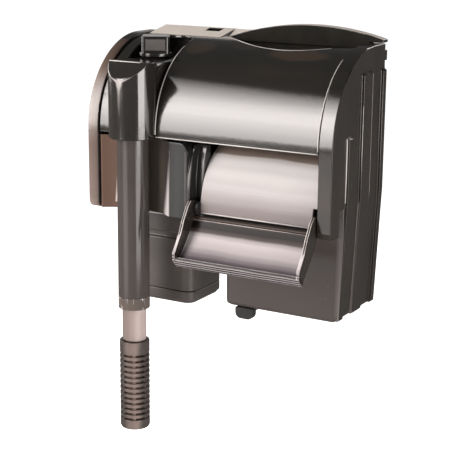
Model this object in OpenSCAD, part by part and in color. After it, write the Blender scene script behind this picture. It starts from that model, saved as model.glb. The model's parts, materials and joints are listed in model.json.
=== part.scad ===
// Hang on back aquarium filter: a power filter that hooks over the rim of a tank.
// The in-tank side faces -Y, +X is to the right seen from inside the tank, +Z is up.
// The origin is on the underside of the hook, where it rests on the top edge of the glass.

/* [Body] */
// Overall width of the filter body
body_w = 190; // [180:1:200]
// Depth of the body behind the hook's origin, at the top
back_y = 66; // [62:1:72]
// Front plane of the curved hood
hood_y = -13; // [-14:0.5:-12]
// Height of the hood's lower edge above the rim seat
hood_z = 38; // [36:0.5:40]
// Radius of the hood's quarter round
hood_r = 62; // [60:0.5:63]
// Front face of the media box, which meets the outer face of the glass
box_y = 7; // [7:0.5:9]
// Left side of the media box
box_x = 4.5; // [3:0.5:6]
// Depth of the media box below the rim seat
box_drop = 80; // [76:1:84]
// Wall thickness of the body mouldings
wall = 2.4; // [2:0.1:2.8]
// Taper of the media box at its bottom, for mould release
taper = 3.5; // [2:0.25:4]

/* [Intake] */
// Centre of the intake column and tube, across the body
tube_x = -56.8; // [-57.5:0.1:-56.5]
// Centre of the intake column and tube, front to back
tube_y = -15; // [-15.5:0.1:-15]
// Outer radius of the intake column
column_r = 16.6; // [16:0.1:16.9]
// Outer radius of the upper intake tube
tube_r = 11.2; // [10.8:0.1:11.2]
// Bore radius of the upper intake tube
tube_bore = 9.2; // [9.1:0.05:9.4]
// Lower end of the upper intake tube
tube_end = -85.5; // [-88:0.5:-83]
// Outer radius of the telescopic extension tube
ext_r = 8.5; // [8.3:0.05:8.5]
// Outer radius of the strainer
strainer_r = 10.7; // [10.4:0.1:11]
// Top of the strainer
strainer_top = -110; // [-112:0.5:-108]
// Bottom of the strainer
strainer_bot = -176; // [-180:1:-172]
// Number of strainer rings
strainer_n = 13; // [11:1:14]

/* [Waterfall] */
// Left end of the waterfall opening
fall_x0 = -11.9; // [-12.5:0.1:-11.5]
// Right end of the waterfall opening
fall_x1 = 85.2; // [85:0.1:85.4]
// Pivot of the adjustable spout, front to back
pivot_y = -8.5; // [-9:0.1:-8]
// Pivot height of the adjustable spout
pivot_z = -8.5; // [-9:0.1:-8]
// Radius of the spout's pivot pins
pivot_r = 2; // [1.8:0.05:2.2]

/* [Pump] */
// Centre of the impeller, front to back
pump_y = 34; // [33.5:0.1:34.5]
// Radius of the impeller over its blades
impeller_r = 14; // [13:0.25:14.5]
// Radius of the rotor magnet
magnet_r = 8.4; // [8:0.1:8.6]
// Radius of the ceramic shaft
shaft_r = 1.5; // [1.4:0.05:1.6]

/* [Levelling] */
// Centre of the levelling pad across the body
level_x = 20; // [18:0.5:26]
// Radius of the levelling screw
level_r = 2; // [1.8:0.1:2.2]

/* [Hidden] */
$fn = 64;
e = 0.4;                       // gap between neighbouring bodies
xl = -body_w/2;                // left outer side
xr = body_w/2;                 // right outer side
cl = xl + 8.5;                 // inner side of the left end frame
cr = fall_x1;                  // inner side of the right end frame
arc_y = hood_y + hood_r;       // centre of the hood's quarter round
arc_z = hood_z + 2;
top_z = arc_z + hood_r;        // top of the lid
rim_z = top_z + 1.5;           // top of the end frames
lip_r = hood_r + 1.5;          // radius of the end frames, which stand proud of the lid
slot_y = -1;                   // in-tank face of the glass slot
floor_z = -17;                 // floor of the trough
box_z = -box_drop;
notch_x = -58.6;               // middle of the lid's notch for the intake elbow
notch_r = 18.4;
panel_z = -16.7;               // lower edge of the in-tank panel
knob_y = 15;
knob_turn = 30;                // resting angle of the flow knob
duct_z = 72;                   // centre height of the elbow's cross duct
elbow_z = 89.5;                // top of the elbow
arch_x = 42;                   // raised grip at the back of the lid
arch_r = 195;
arch_z = 113.6;
grip_x = 35;                   // finger scoop in the lid: centre and radius of its curved front wall
grip_y = 96.2;
grip_r = 67.2;
grip_z = 86;                   // floor of the scoop
grip_b = 61.2;                 // back wall of the scoop
weir_z = 24.8;                 // lip the water spills over
pump_x = tube_x;
ph_x0 = -84; ph_x1 = -27; ph_y0 = 15; ph_y1 = 61; ph_z0 = -78.5; ph_z1 = -19.8;
cap_z = -88;
level_z = -84.6;
cap_screws = [[ph_x0+7, ph_y0+9.2], [ph_x1-7, ph_y0+9.2], [ph_x0+7, ph_y1-7.2], [ph_x1-7, ph_y1-7.2]];
flute_h = 1.8;                 // how far the raised panels on the right side stand proud

// ---------- helpers ----------
// extrude a drawing made in (Y, Z) along X
module along_x(x0, x1) translate([x0,0,0]) rotate([90,0,90]) linear_extrude(x1-x0) children();
// extrude a drawing made in (X, Z) along Y
module along_y(y0, y1) translate([0,y1,0]) rotate([90,0,0]) linear_extrude(y1-y0) children();
module box(a, b) translate(a) cube([b[0]-a[0], b[1]-a[1], b[2]-a[2]]);
module tube(r, ri, z0, z1) translate([0,0,z0]) difference() {
  cylinder(r=r, h=z1-z0);
  translate([0,0,-1]) cylinder(r=ri, h=z1-z0+2);
}
// rounded rectangle with chord-cut corners, n chords a corner
function arc(cx, cy, r, a0, a1, n) = [for (i=[0:n]) [cx + r*cos(a0+(a1-a0)*i/n), cy + r*sin(a0+(a1-a0)*i/n)]];
function rr(x0, y0, x1, y1, r, n=6) = concat(
  arc(x1-r, y1-r, r, 0, 90, n), arc(x0+r, y1-r, r, 90, 180, n),
  arc(x0+r, y0+r, r, 180, 270, n), arc(x1-r, y0+r, r, 270, 360, n));
// side profile under the hood: quarter round in front, flat on top
module hood2d(r, yb, zb) {
  difference() {
    translate([arc_y-r, zb]) square([yb-arc_y+r, arc_z+r-zb]);
    difference() {
      translate([arc_y-r-1, arc_z]) square([r+1, r+1]);
      translate([arc_y, arc_z]) circle(r=r, $fn=128);
    }
  }
}
// solid of the media box, shrunk by t on every side
module media_solid(t, z0, z1) {
  intersection() {
    linear_extrude(200, center=true) polygon(rr(box_x+t, box_y+t, xr-t, back_y-t, 4.5-t*0.8));
    along_x(0, 120) polygon([[box_y+t, z0+2.5], [box_y+t+2.5, z0], [back_y-t-taper-3, z0], [back_y-t-taper, z0+3], [back_y-t, 0], [back_y-t, z1], [box_y+t, z1]]);
    along_y(0, 80) polygon(concat([[xr-t, z1], [box_x+t, z1], [box_x+t, -20]],
      arc(box_x+t+1+5, z0+5, 5, 180, 270, 5), arc(xr-t-taper-5, z0+5, 5, 270, 360, 5), [[xr-t, 0]]));
  }
}

// ---------- body ----------
module end_web(x0, x1) {
  // full side wall above the rim, with the hood's profile
  along_x(x0, x1) hood2d(lip_r, back_y, 0);
}
module end_frame(x0, x1, xi) {
  // hollow box section along the profile; xi is the inner skin's outer face
  along_x(min(x0,x1), max(x0,x1)) difference() {
    hood2d(lip_r, back_y, 0);
    translate([0,-1]) hood2d(lip_r-wall, back_y+1, 0);
    translate([arc_y+8, -1]) square([60, arc_z+30]);
  }
  along_x(min(xi,xi+(x0<0?-2:2)), max(xi,xi+(x0<0?-2:2))) difference() {
    hood2d(lip_r, back_y, 0);
    translate([0,-1]) hood2d(lip_r-9, back_y+1, 0);
  }
}
module leg(x0, x1, z) {
  // in-tank leg of an end frame, rounded at its foot
  along_x(x0, x1) polygon(concat([[slot_y, 0.5], [arc_y-lip_r, 0.5]], arc(arc_y-lip_r+5, z+5, 5, 180, 270, 5), [[slot_y, z]]));
}
module flute(y0, y1, z1) {
  // raised vertical panel on the right side
  intersection() {
    along_x(xr-8, xr+2.6) polygon(rr(y0, box_z+1, y1, z1, 2.5, 4));
    along_y(0, 90) polygon([[xr-wall, z1+1], [xr+flute_h, z1-2], [xr+flute_h, 5], [xr+flute_h-taper, box_z+2.5], [xr-taper-1, box_z+0.5], [xr-taper-2.2, box_z+4], [xr-wall, 0]]);
  }
}
module filter_body() {
  color([0.36, 0.34, 0.32]) difference() {
    union() {
      // media box
      difference() {
        media_solid(0, box_z, weir_z-3);
        media_solid(wall, box_z+wall, 60);
      }
      // trough floor and its left end, behind the glass
      box([xl, box_y, floor_z-wall], [box_x+1, back_y-2, floor_z]);
      // end walls
      difference() { union() { end_web(xr-wall, xr); end_frame(cr+2, xr-1, cr); } }
      difference() { union() { end_web(xl, xl+wall); end_frame(xl+1, cl-2, cl); } }
      box([xl, box_y, floor_z-wall], [xl+wall, back_y, 1]);
      // back wall with its stiffening rim
      box([xl, back_y-wall, floor_z-wall], [xr, back_y, 99]);
      box([xl, back_y-0.5, 92], [xr, back_y+3.5, 99]);
      // front wall of the trough: up to the weir lip, higher beside the intake
      box([xl, box_y, floor_z-wall], [fall_x0-2.5, box_y+wall, 36]);
      box([fall_x0-3, box_y, floor_z-wall], [xr-1, box_y+wall, weir_z-3]);
      // hook plate that rests on the glass
      box([xl, slot_y, 0], [xr, box_y+1, 2.6]);
      // in-tank legs of the end frames
      leg(cr, xr, -17.8);
      leg(xl, cl, -16.7);
      // wall between the pump chamber and the media chamber
      box([box_x-wall+1, box_y+1, floor_z-1], [box_x+1, back_y-1, 12]);
      // collar that takes the elbow's down pipe is in the impeller cover
      // raised panels on the right side
      flute(7.4, 13.6, 48);
      flute(28.5, 43.2, 88);
      flute(60.2, 65.6, 88);
      // ledges the lid rests on
      box([xl+1, back_y-6, 94], [cl+1, back_y-1, 99.4]);
      box([cr-1, back_y-6, 94], [xr-1, back_y-1, 99.4]);
    }
    // rotor well opening in the trough floor
    translate([pump_x, pump_y, floor_z-5]) cylinder(r=10.9, h=10);
    // blind bore of the right pivot pin
    translate([cr-1, pivot_y, pivot_z]) rotate([0,90,0]) cylinder(r=pivot_r, h=4);
    // discharge port from the pump chamber into the media box
    box([box_x-3, pump_y+3, floor_z+2], [box_x+3, pump_y+15, floor_z+9]);
    // slot of the lid catch
    box([-40.5, back_y-4, 92.5], [-27.5, back_y-0.9, 100]);
  }
}

// ---------- in-tank front frame ----------
module front_frame() {
  color([0.42, 0.38, 0.35]) difference() {
    union() {
      // curved well behind the intake tube
      intersection() {
        difference() {
          translate([tube_x-0.5, slot_y-2-45.6, panel_z]) cylinder(r=47.6, h=36-panel_z, $fn=160);
          translate([tube_x-0.5, slot_y-2-45.6, panel_z-1]) cylinder(r=45.6, h=60, $fn=160);
        }
        box([cl+e, hood_y+0.6, panel_z-1], [-28.6, slot_y+0.01, 40]);
      }
      // raised panel between the well and the waterfall
      difference() {
        along_y(hood_y, slot_y) polygon(concat([[-28.8, 36], [-28.8, panel_z], [fall_x0-2.5, panel_z]], arc(fall_x0-2.5-6, 30, 6, 0, 90, 6)));
        box([-26.6, hood_y+2.2, panel_z-1], [fall_x0-4.6, slot_y+1, 33.8]);
      }
      // left cheek of the waterfall
      along_x(fall_x0-2.5, fall_x0-e) difference() {
        polygon([[box_y-e, 3], [box_y-e, 34], [-4, 34], [-8.6, 26], [-11.6, 14], [hood_y, 0], [hood_y, panel_z+3], [hood_y+3, panel_z], [slot_y, panel_z], [slot_y, 3]]);
        translate([pivot_y, pivot_z]) circle(r=pivot_r);
      }
      // inner step of the left cheek, beside the apron
      along_x(fall_x0-e-0.01, fall_x0+5.3) polygon([[box_y-e, 3], [box_y-e, 34], [2, 34], [-1.6, 24], [-3.4, 12], [-4, 2], [-4, -3], [slot_y, -3], [slot_y, 3]]);
      // plate in front of the glass, under the apron
      box([fall_x0-3, slot_y-2, panel_z], [cr-e, slot_y, -e]);
      // bottom rim of the well and panel
      difference() {
        box([cl+e, hood_y+0.6, panel_z], [-28.6, slot_y, panel_z+2.2]);
        translate([tube_x-0.5, slot_y-2-45.6, panel_z-1]) cylinder(r=45.6, h=60, $fn=160);
      }
    }
    // room for the hook plate of the body
    box([xl, slot_y-e, -e], [cr+1, box_y+1, 3]);
    // clip slots
    for (x = [-70, -40]) box([x-4.2, slot_y-3.4, 8], [x+4.2, slot_y+1, 14]);
  }
}
module frame_clips() {
  // spring clips that hold the front frame on the trough's front wall
  color([0.2, 0.2, 0.2]) for (x = [-70, -40]) {
    box([x-4, slot_y-2.6, 8.2], [x+4, box_y-0.2, 13.8]);
  }
}
module spillway_apron() {
  // convex panel that the water runs down, from its crest behind the weir to its lower edge
  color([0.62, 0.58, 0.56]) union() {
    difference() {
      along_x(fall_x0+5.7, cr-0.3) intersection() {
        difference() {
          translate([36.8, -8.5]) circle(r=45, $fn=200);
          translate([36.8, -8.5]) circle(r=43, $fn=200);
        }
        polygon([[-11, -12.5], [0, -12.5], [4, 12], [20.4, 28], [19.4, 34], [-11, 34]]);
      }
      // room for the spout's right arm
      box([cr-6.2, -11, -14], [cr, 0, 1]);
    }
    // saddle on the trough's front wall
    along_x(fall_x0+5.7, cr-0.3) polygon([[box_y-e, weir_z-3], [box_y+wall, weir_z-3], [box_y+wall, weir_z+0.6], [box_y-e, weir_z-1.5]]);
  }
}

// ---------- lid ----------
module scoop(t) {
  // room of the finger scoop, grown by t
  intersection() {
    translate([grip_x, grip_y, grip_z-t]) cylinder(r=grip_r+t, h=40, $fn=200);
    box([-60, 0, grip_z-t], [cr-e-2.8+t, grip_b+t, 130]);
  }
}
module lid() {
  color([0.30, 0.28, 0.26]) difference() {
    union() {
      difference() {
        union() {
          // quarter-round hood and flat top
          difference() {
            along_x(cl+e, cr-e) hood2d(hood_r, back_y+8, hood_z);
            along_x(cl+e+2.2, cr-e-2.2) hood2d(hood_r-2.2, back_y+0.2, hood_z-1);
            along_x(cl, cr) translate([arc_y-hood_r+2.2, hood_z-1]) square([200, arc_z-hood_z+1]);
            along_x(cl, cr) translate([46, 30]) square([200, 64]);
          }
        }
        // clearance above the body's rear rim and back wall
        box([xl, back_y-7, 60], [xr, back_y+0.2, 99.8]);
        box([xl, back_y-0.2, 60], [xr, back_y+9, 99.4]);
      }
      // wall of the finger scoop
      intersection() {
        scoop(2);
        along_x(cl+e, cr-e) hood2d(hood_r, back_y, hood_z);
      }
      // raised arched grip behind the scoop
      intersection() {
        along_y(grip_b, back_y+3.7) translate([arch_x, arch_z-arch_r]) circle(r=arch_r, $fn=256);
        union() {
          box([-26, 50, top_z-1], [cr-e, 80, 120]);
          box([-26, 50, rim_z+0.5], [xr, 80, 120]);
        }
      }
      // flat top rising towards the back, left of the grip and behind its end
      along_x(cl+e, -25.5) polygon([[50, top_z-0.6], [50, top_z+0.1], [back_y+8, top_z+5], [back_y+8, top_z-0.6]]);
      along_x(-26, -8) polygon([[grip_b+0.3, top_z-0.6], [grip_b+0.3, top_z+0.1], [back_y+8, top_z+5], [back_y+8, top_z-0.6]]);
    }
    // finger pocket over the catch
    box([-46, 65, top_z+1], [-34.5, 71.5, top_z+12]);
    // the scoop itself
    scoop(0);
    // notch for the intake elbow
    box([notch_x-notch_r, -30, 20], [notch_x+notch_r, 31, 120]);
    translate([notch_x, 31, 20]) cylinder(r=notch_r, h=100);
    // seat of the rear catch
    box([-38, back_y-3, top_z-6], [-30, back_y-0.7, top_z-0.9]);
  }
}
module lid_catch() {
  // small spring catch at the back of the lid
  color([0.3, 0.3, 0.3]) union() {
    box([-37.8, back_y-2.8, 94], [-30.2, back_y-1.2, top_z-1]);
    along_x(-37.8, -30.2) polygon([[back_y-1.3, 94], [back_y-1.1, 96.2], [back_y-1.3, 96.4]]);
  }
}

// ---------- spout ----------
module spout_flap() {
  color([0.5, 0.47, 0.46]) difference() {
    union() {
      // curved chute floor with its lip
      along_x(fall_x0+e, cr-1) union() {
        intersection() {
          difference() {
            translate([-79.2, 19.5]) circle(r=78, $fn=200);
            translate([-79.2, 19.5]) circle(r=76, $fn=200);
          }
          polygon([[-13.4, -14.4], [-6.6, -15.2], [-29.4, -44.2], [-35, -40]]);
        }
        // front lip
        polygon([[-31.2, -42.8], [-29.6, -44.2], [-34.6, -38.8], [-36.2, -37.6]]);
        polygon([[-29.2, -41.2], [-31.6, -45.2], [-36.4, -40], [-34, -37.6]]);
        // rolled upper rim
        translate([-11, -15]) circle(r=1.6);
      }
      // side cheeks
      for (x = [[fall_x0+e, fall_x0+e+2], [cr-3, cr-1]]) along_x(x[0], x[1])
        polygon(concat([[-15.4, -2.6], [-19.4, -6.6], [-24.4, -14.6], [-28.6, -23.4], [-35.8, -33.6], [-36.6, -35.2], [-36.4, -40], [-31.6, -45.2], [-29.2, -41.4], [-20.6, -30.2], [-12.6, -20.6], [-8.4, -15.2]],
          arc(pivot_y, pivot_z, 5, -50, 90, 8), [[-11.4, -2.6]]));
    }
    // pivot bores
    translate([-100, pivot_y, pivot_z]) rotate([0,90,0]) cylinder(r=pivot_r+0.06, h=200);
  }
}
module spout_pivot_pins() {
  color([0.15, 0.15, 0.15]) {
    translate([fall_x0-2.5, pivot_y, pivot_z]) rotate([0,90,0]) cylinder(r=pivot_r, h=7);
    translate([fall_x0+3.1, pivot_y, pivot_z]) rotate([0,90,0]) cylinder(r=4.4, h=2.4);
    translate([cr-5.4, pivot_y, pivot_z]) rotate([0,90,0]) cylinder(r=pivot_r, h=8.4);
    translate([cr-5.6, pivot_y, pivot_z]) rotate([0,90,0]) cylinder(r=4.4, h=2.2);
  }
}

// ---------- intake ----------
module intake_elbow() {
  color([0.27, 0.26, 0.25]) difference() {
    union() {
      // column in the tank
      difference() {
        translate([tube_x, tube_y, 37]) cylinder(r=column_r, h=elbow_z-37, $fn=96);
        // sloping facet on the column's head
        translate([tube_x, tube_y-column_r, 79]) rotate([42,0,0]) translate([-40,-40,0]) cube([80, 80, 40]);
      }
      // cross duct over the rim
      along_y(tube_y, pump_y) polygon(rr(tube_x-13.4, duct_z-13.4, tube_x+13.4, elbow_z, 5, 5));
      // down pipe into the pump chamber
      translate([pump_x, pump_y, 0.8]) cylinder(r=12.6, h=elbow_z-0.8, $fn=96);
      // boss of the flow knob
      translate([tube_x, knob_y, elbow_z-1]) cylinder(r=9, h=1.8);
    }
    // water way
    translate([tube_x, tube_y, 36]) cylinder(r=tube_r+0.02, h=20);
    translate([tube_x, tube_y, 36]) cylinder(r=9.4, h=duct_z+9.4-36);
    translate([tube_x, tube_y, duct_z]) rotate([-90,0,0]) cylinder(r=9.4, h=pump_y-tube_y);
    translate([pump_x, pump_y, -1]) cylinder(r=9.4, h=duct_z+9.4+1);
    // bore of the knob's spindle
    translate([tube_x, knob_y, duct_z]) cylinder(r=2.56, h=30);
    // groove of the down pipe's seal
    translate([pump_x, pump_y, 3]) difference() { cylinder(r=14, h=2.6); translate([0,0,-1]) cylinder(r=11.2, h=5); }
  }
}
module elbow_seal() {
  color([0.1, 0.1, 0.1]) translate([pump_x, pump_y, 4.3]) rotate_extrude($fn=96) translate([12.05, 0]) circle(r=0.83, $fn=32);
}
module upper_intake_tube() {
  color([0.33, 0.31, 0.30]) translate([tube_x, tube_y, 0]) tube(tube_r, tube_bore, tube_end+8.5, 55.5);
}
module tube_collar() {
  // translucent guide collar in the tube's lower end
  color([0.6, 0.57, 0.54]) translate([tube_x, tube_y, 0]) difference() {
    union() {
      translate([0,0,tube_end]) cylinder(r=tube_r, h=8.5);
      translate([0,0,tube_end]) cylinder(r=tube_bore, h=14);
    }
    translate([0,0,tube_end-1]) cylinder(r=ext_r+0.06, h=20);
  }
}
module extension_tube() {
  color([0.62, 0.59, 0.56]) translate([tube_x, tube_y, 0]) tube(ext_r, ext_r-1.6, strainer_top+0.6, strainer_top+100);
}
module strainer() {
  pitch = (strainer_top-7-(strainer_bot+7))/strainer_n;
  color([0.22, 0.21, 0.2]) translate([tube_x, tube_y, 0]) union() {
    // plain collar
    difference() {
      translate([0,0,strainer_top-7]) cylinder(r=strainer_r, h=7);
      translate([0,0,strainer_top-8]) cylinder(r=6.6, h=9);
      translate([0,0,strainer_top-3]) cylinder(r=ext_r, h=9);
    }
    // rings
    for (i = [0:strainer_n-1]) translate([0,0,strainer_bot+7+pitch*i+pitch*0.45]) difference() {
      cylinder(r=strainer_r, h=pitch*0.55+0.01);
      translate([0,0,-1]) cylinder(r=8.6, h=pitch+2);
    }
    // bars that carry the rings
    for (a = [0:60:300]) rotate([0,0,a]) box([7.4, -1.1, strainer_bot+5], [9.4, 1.1, strainer_top-6]);
    // plain foot ring
    tube(strainer_r, 7.2, strainer_bot+1.2, strainer_bot+7.01);
  }
}
module strainer_end_cap() {
  color([0.2, 0.19, 0.18]) translate([tube_x, tube_y, 0]) union() {
    translate([0,0,strainer_bot]) cylinder(r=strainer_r-0.6, h=1.2);
    translate([0,0,strainer_bot+1]) cylinder(r=7.2, h=4);
  }
}
module flow_knob() {
  color([0.25, 0.24, 0.23]) translate([tube_x, knob_y, 0]) rotate([0,0,knob_turn]) union() {
    difference() {
      union() {
        // round flange and square grip
        translate([0,0,elbow_z+1.2]) cylinder(r=11.6, h=2.6);
        translate([0,0,elbow_z+3]) linear_extrude(12.2) polygon(rr(-9.6, -9.6, 9.6, 9.6, 2, 4));
      }
      // recessed face towards the tank
      box([-7, -10.6, elbow_z+5.4], [7, -8.4, elbow_z+13.4]);
      // hollow from below
      translate([0,0,elbow_z]) cylinder(r=5.4, h=3);
    }
    // spindle, slotted for the valve plate
    difference() {
      translate([0,0,duct_z-7]) cylinder(r=2.5, h=elbow_z-duct_z+13);
      box([-4, -0.9, duct_z-8], [4, 0.9, duct_z+8.9]);
    }
  }
}
module flow_knob_face() {
  color([0.6, 0.58, 0.56]) translate([tube_x, knob_y, 0]) rotate([0,0,knob_turn]) box([-6.9, -9.4, elbow_z+5.5], [6.9, -8.4, elbow_z+13.3]);
}
module flow_knob_seal() {
  color([0.1, 0.1, 0.1]) translate([tube_x, knob_y, elbow_z+2.4]) tube(4.4, 2.5, -1.4, 0.6);
}
module flow_valve_plate() {
  // butterfly plate in the cross duct
  color([0.3, 0.3, 0.3]) translate([tube_x, knob_y, duct_z]) rotate([90,0,knob_turn]) cylinder(r=8.9, h=1.8, center=true);
}

// ---------- pump ----------
module pump_housing() {
  color([0.2, 0.19, 0.18]) difference() {
    union() {
      translate([0,0,ph_z0]) linear_extrude(ph_z1-ph_z0) polygon(rr(ph_x0, ph_y0, ph_x1, ph_y1, 8, 8));
    }
    // inside of the motor case
    difference() {
      translate([0,0,ph_z0-1]) linear_extrude(ph_z1-3-ph_z0+1) polygon(rr(ph_x0+wall, ph_y0+wall+2.2, ph_x1-wall, ph_y1-wall, 6, 6));
      translate([pump_x, pump_y, -63.4]) cylinder(r=12, h=60);
      // bosses of the bottom cap's screws
      for (p = cap_screws) box([p[0]-4.6, p[1]-5.2, ph_z0+2.3], [p[0]+4.6, p[1]+5.2, -67]);
    }
    // rotor well
    translate([pump_x, pump_y, -61]) cylinder(r=10.2, h=60);
    // screw holes
    for (p = cap_screws) translate([p[0], p[1], ph_z0-1]) cylinder(r=1.45, h=9.5);
    // dark slot across the front
    along_x(ph_x0-1, ph_x1+1) polygon([[ph_y0-1, -41], [ph_y0+2, -39.6], [ph_y0+2, -36], [ph_y0-1, -35.4]]);
    // hole of the cable gland
    translate([-40, ph_y1+2, -60]) rotate([90,0,0]) cylinder(r=5, h=8);
  }
}
module pump_bottom_cap() {
  color([0.2, 0.19, 0.18]) difference() {
    union() {
      translate([0,0,cap_z+2]) linear_extrude(ph_z0-0.5-cap_z-2) polygon(rr(ph_x0, ph_y0, ph_x1, ph_y1, 8, 8));
      translate([0,0,cap_z]) linear_extrude(2.01) polygon(rr(ph_x0+1.6, ph_y0+1.6, ph_x1-1.6, ph_y1-1.6, 7, 8));
      translate([0,0,ph_z0-1]) linear_extrude(3) polygon(rr(ph_x0+wall+0.2, ph_y0+wall+2.4, ph_x1-wall-0.2, ph_y1-wall-0.2, 6, 6));
    }
    translate([0,0,cap_z+2.4]) linear_extrude(30) polygon(rr(ph_x0+13.5, ph_y0+6, ph_x1-13.5, ph_y1-5, 4, 4));
    for (p = cap_screws)
      translate([p[0], p[1], cap_z-1]) { cylinder(r=1.6, h=30); cylinder(r=3.2, h=3.6); }
  }
}
module pump_cap_screws() {
  color([0.75, 0.75, 0.77]) for (p = cap_screws)
    translate([p[0], p[1], cap_z]) difference() {
      union() { translate([0,0,0.4]) cylinder(r=2.9, h=2.2); cylinder(r=1.45, h=18); }
      box([-2, -0.4, -0.5], [2, 0.4, 1.2]);
      box([-0.4, -2, -0.5], [0.4, 2, 1.2]);
    }
}
module pump_gasket() {
  color([0.1, 0.1, 0.1]) translate([pump_x, pump_y, 0]) tube(14, 10.9, ph_z1, floor_z-wall);
}
module stator_core() {
  // laminated core on both sides of the rotor well
  color([0.55, 0.55, 0.57]) difference() {
    box([pump_x-22, pump_y-9, -56], [pump_x+22, pump_y+22, -38]);
    translate([pump_x, pump_y, -60]) cylinder(r=12.1, h=30);
    box([pump_x-9, pump_y-10, -57], [pump_x+9, pump_y, -37]);
    box([pump_x-12.4, pump_y+8, -57], [pump_x+12.4, pump_y+14.4, -37]);
  }
}
module stator_coil() {
  color([0.72, 0.45, 0.2]) difference() {
    box([pump_x-11, pump_y+14.7, -60], [pump_x+11, pump_y+24, -34]);
    box([pump_x-12, pump_y+14, -56.1], [pump_x+12, pump_y+22.1, -37.9]);
  }
}
module impeller_cover() {
  // volute with its inlet collar and the channel to the media chamber
  color([0.45, 0.43, 0.41]) translate([pump_x, pump_y, 0]) difference() {
    union() {
      translate([0,0,floor_z+0.1]) cylinder(r=19, h=13.9, $fn=96);
      translate([0,0,-4]) cylinder(r=16, h=14, $fn=96);
      box([0, 2.5, floor_z+0.1], [box_x-pump_x-1.5, 15.5, floor_z+11]);
    }
    translate([0,0,floor_z-1]) cylinder(r=16.6, h=12.4, $fn=96);
    translate([0,0,-7]) cylinder(r=8.4, h=20);
    translate([0,0,0.3]) cylinder(r=12.9, h=20);
    box([-2, 4.5, floor_z-1], [box_x-pump_x, 13.5, floor_z+9]);
  }
}
module impeller() {
  color([0.85, 0.84, 0.8]) translate([pump_x, pump_y, 0]) difference() {
    union() {
      translate([0,0,-16.4]) cylinder(r=9, h=1.6);
      translate([0,0,-18.4]) cylinder(r=4.6, h=12.4);
      for (a = [0:60:300]) rotate([0,0,a]) box([3, -0.8, -15], [impeller_r, 0.8, -6.4]);
    }
    translate([0,0,-30]) cylinder(r=shaft_r+0.05, h=60);
  }
}
module rotor_magnet() {
  color([0.25, 0.25, 0.27]) translate([pump_x, pump_y, 0]) tube(magnet_r, shaft_r+0.05, -57.4, -18.4);
}
module ceramic_shaft() {
  color([0.93, 0.92, 0.9]) translate([pump_x, pump_y, -60.4]) cylinder(r=shaft_r, h=57.4);
}
module shaft_bushes() {
  color([0.12, 0.12, 0.12]) translate([pump_x, pump_y, 0]) {
    difference() { translate([0,0,-61]) cylinder(r=4.4, h=3); translate([0,0,-60.4]) cylinder(r=shaft_r, h=10); }
    difference() {
      union() {
        translate([0,0,-5.4]) cylinder(r=3.4, h=3);
        for (a = [0:120:240]) rotate([0,0,a]) box([2.4, -0.9, -5.2], [8.3, 0.9, -3]);
      }
      translate([0,0,-6]) cylinder(r=shaft_r, h=3);
    }
  }
}
module cable_gland() {
  color([0.12, 0.12, 0.12]) translate([-40, 0, -60]) rotate([-90,0,0]) difference() {
    union() {
      translate([0,0,ph_y1-2.4]) cylinder(r=5, h=3);
      translate([0,0,ph_y1]) cylinder(r=7.2, h=2.6);
      translate([0,0,ph_y1+2]) cylinder(r=5.4, h=6);
    }
    translate([0,0,ph_y1-5]) cylinder(r=3.2, h=20);
  }
}

// ---------- filter media ----------
module cart_frame(y) {
  difference() {
    union() {
      along_y(y, y+7) polygon(rr(10.4, -74, 81.8, 16, 3, 4));
      along_y(y+1.6, y+5.4) polygon(rr(36, 10, 56, 27, 3, 4));
    }
    along_y(y+1.2, y+5.8) polygon(rr(13.4, -71, 78.8, 12.6, 1, 2));
    for (x = [15.4, 47.8]) for (z = [-69, -41, -13]) along_y(y-1, y+8) polygon(rr(x, z, x+29, z+24.6, 2, 3));
    along_y(y-1, y+9) polygon(rr(40, 17.6, 52, 23.4, 2, 3));
  }
}
module cart_pad(y) along_y(y+1.3, y+5.7) polygon(rr(13.6, -70.8, 78.6, 12.4, 1, 2));
module front_cartridge_frame() { color([0.15, 0.3, 0.55]) cart_frame(21.4); }
module front_floss_pad() { color([0.92, 0.92, 0.9]) cart_pad(21.4); }
module rear_cartridge_frame() { color([0.15, 0.3, 0.55]) cart_frame(31); }
module rear_floss_pad() { color([0.3, 0.3, 0.3]) cart_pad(31); }
module media_basket() {
  color([0.2, 0.2, 0.2]) difference() {
    box([10.2, 40.4, -72], [87.2, 59.4, 8]);
    box([12.2, 42.4, -70], [85.2, 57.4, 9]);
    for (x = [15:9:78]) for (z = [-66:12:-6]) {
      box([x, 38, z], [x+6, 62, z+9]);
    }
    for (x = [15:9:78]) for (y = [44.4, 51]) box([x, y, -74], [x+6, y+4.6, -69]);
  }
}
module bio_sponge() { color([0.25, 0.35, 0.45]) box([12.8, 43, -69.6], [84.6, 56.8, 3]); }

// ---------- levelling ----------
module levelling_bracket() {
  // nut block under the media box that carries the levelling screw
  color([0.2, 0.19, 0.18]) difference() {
    box([level_x-5, 39.6, level_z-3.2], [level_x+5, 45.6, box_z]);
    translate([level_x, 50, level_z]) rotate([90,0,0]) cylinder(r=level_r+0.05, h=20);
  }
}
module levelling_pad() {
  color([0.15, 0.15, 0.15]) difference() {
    along_y(box_y+0.6, box_y+6.4) polygon(concat([[level_x+7, box_z-e], [level_x-7, box_z-e]],
      arc(level_x-2.8, level_z+0.4, 4.2, 180, 270, 6), arc(level_x+2.8, level_z+0.4, 4.2, 270, 360, 6)));
    translate([level_x, box_y+10, level_z]) rotate([90,0,0]) cylinder(r=1.35, h=6);
  }
}
module levelling_screw() {
  color([0.8, 0.8, 0.82]) translate([level_x, 0, level_z]) rotate([-90,0,0]) difference() {
    union() {
      translate([0,0,box_y+4.2]) cylinder(r=1.3, h=4);
      translate([0,0,box_y+6.7]) cylinder(r=level_r, h=44);
      translate([0,0,56.4]) cylinder(r=3.6, h=3);
    }
    box([-4, -0.5, 58.2], [4, 0.5, 60]);
  }
}

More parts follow.
